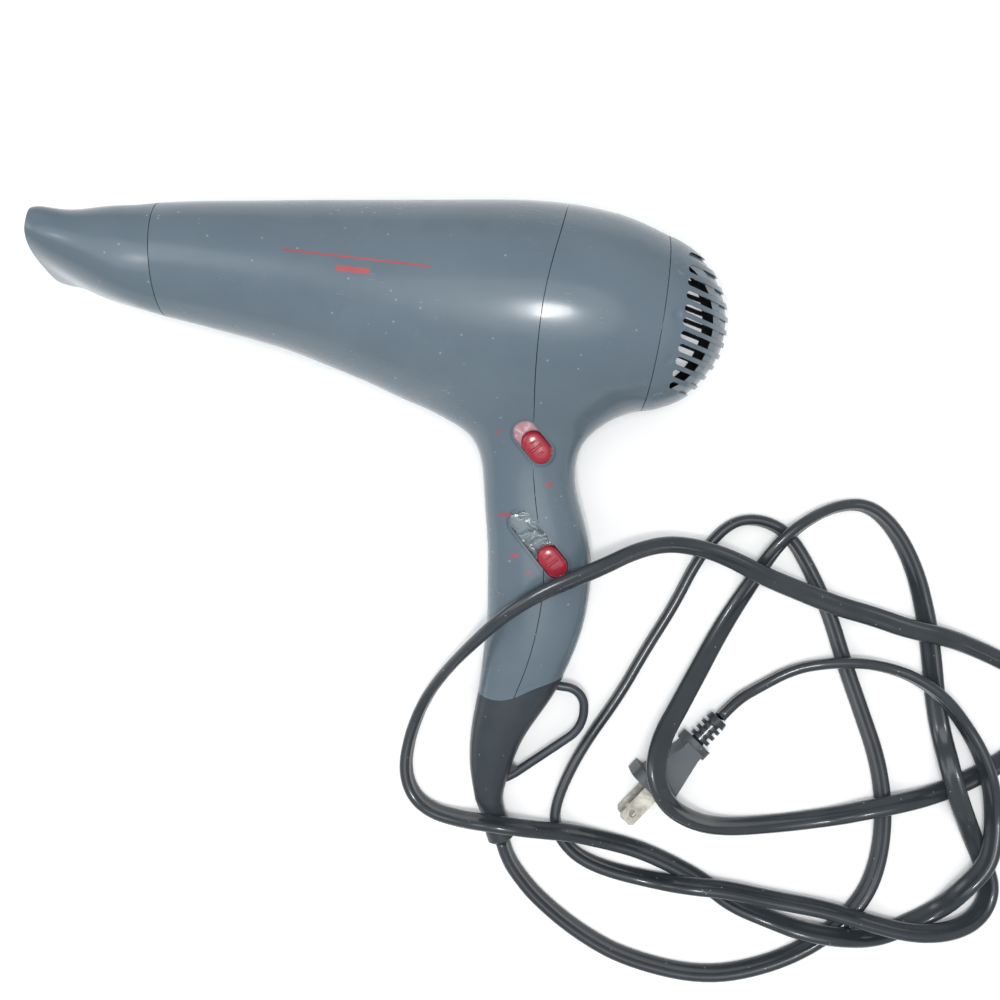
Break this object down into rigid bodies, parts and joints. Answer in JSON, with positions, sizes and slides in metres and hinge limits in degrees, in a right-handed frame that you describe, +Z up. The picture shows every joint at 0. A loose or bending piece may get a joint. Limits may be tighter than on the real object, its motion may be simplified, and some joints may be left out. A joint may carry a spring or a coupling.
{
  "type": "hair dryer",
  "caption": "Pistol-grip hair dryer lying on its side, with a flattened air nozzle, slotted intake dome, slide switches, hanging loop and a coiled mains cord with plug.",
  "frame": {"origin": "on the floor under the middle of the dryer's own extent, cord and plug left out", "axes": "+X along the fan's axis towards the intake grille, +Y from the handle's tail towards the barrel, +Z up off the floor it lies on"},
  "size_m": [0.4409, 0.3132, 0.0835],
  "materials": {
    "housing_gloss": "glossy blue-grey moulding with fine handling scratches",
    "boot_charcoal": "dark charcoal, satin",
    "screen_steel": "fine perforated steel",
    "fan_plastic": "black moulded",
    "shaft_steel": "turned steel",
    "motor_steel": "plated steel",
    "end_cap_plastic": "black moulded",
    "gasket_rubber": "soft black",
    "duct_plastic": "heat-proof ivory moulding",
    "mica_sheet": "layered mica",
    "heater_wire": "oxidised resistance wire",
    "thermostat_metal": "stamped",
    "fuse_metal": "drawn case",
    "capacitor_skin": "dipped",
    "board_green": "laminate",
    "guard_black": "heat-proof moulding",
    "button_red": "glossy crimson",
    "plate_pink": "dusty pink",
    "plate_silver": "mottled silver",
    "switch_black": "black moulded",
    "screw_steel": "zinc plated",
    "clamp_plastic": "black moulded",
    "lead_brown": "smooth vinyl skin",
    "lead_white": "smooth vinyl skin",
    "cord_vinyl": "dark grey vinyl, satin",
    "plug_vinyl": "dark grey vinyl, finely grained",
    "blade_nickel": "nickel plated"
  },
  "bodies": {
    "dryer": {"front_housing": "housing_gloss", "rear_housing": "housing_gloss", "handle_boot": "boot_charcoal", "hang_loop": "boot_charcoal", "cord_sleeve": "boot_charcoal", "motor_can": "motor_steel", "motor_end_cap": "end_cap_plastic", "motor_gasket": "gasket_rubber", "fan_shroud": "duct_plastic", "heater_sleeve": "mica_sheet", "mica_board_flat": "mica_sheet", "mica_board_upright": "mica_sheet", "heating_coil": "heater_wire", "thermostat": "thermostat_metal", "thermal_fuse": "fuse_metal", "smoothing_capacitor": "capacitor_skin", "rectifier_board": "board_green", "outlet_guard": "guard_black", "cool_switch_plate": "plate_pink", "heat_switch_plate": "plate_silver", "cool_switch_body": "switch_black", "heat_switch_body": "switch_black", "housing_screw_upper": "screw_steel", "housing_screw_lower": "screw_steel", "cord_clamp": "clamp_plastic", "live_lead": "lead_brown", "neutral_lead": "lead_white", "power_cord": "cord_vinyl", "plug_body": "plug_vinyl", "plug_strain_relief": "plug_vinyl", "plug_blade_upper": "blade_nickel", "plug_blade_lower": "blade_nickel"},
    "rotor": {"fan_impeller": "fan_plastic", "motor_shaft": "shaft_steel"},
    "grille": {"rear_grille": "housing_gloss", "lint_screen": "screen_steel"},
    "nozzle": {"concentrator_nozzle": "housing_gloss"},
    "cool_slider": {"cool_button": "button_red"},
    "heat_slider": {"heat_button": "button_red"}
  },
  "joints": [
    {"name": "fan_spin", "type": "hinge", "parent": "dryer", "child": "rotor", "pos_m": [0.0589, 0.0922, 0.0418], "axis": [1, 0, 0], "continuous": true},
    {"name": "grille_twist", "type": "hinge", "parent": "dryer", "child": "grille", "pos_m": [0.1095, 0.0922, 0.0418], "axis": [1, 0, 0], "range_deg": [0, 20]},
    {"name": "nozzle_turn", "type": "hinge", "parent": "dryer", "child": "nozzle", "pos_m": [-0.0883, 0.08835, 0.04118], "axis": [-0.9839, -0.1765, -0.0283], "continuous": true},
    {"name": "cool_slide", "type": "slide", "parent": "dryer", "child": "cool_slider", "axis": [-0.7254, 0.6797, 0.1089], "range_m": [0, 0.0046]},
    {"name": "heat_slide", "type": "slide", "parent": "dryer", "child": "heat_slider", "axis": [-0.7254, 0.6797, 0.1089], "range_m": [0, 0.0176]}
  ]
}
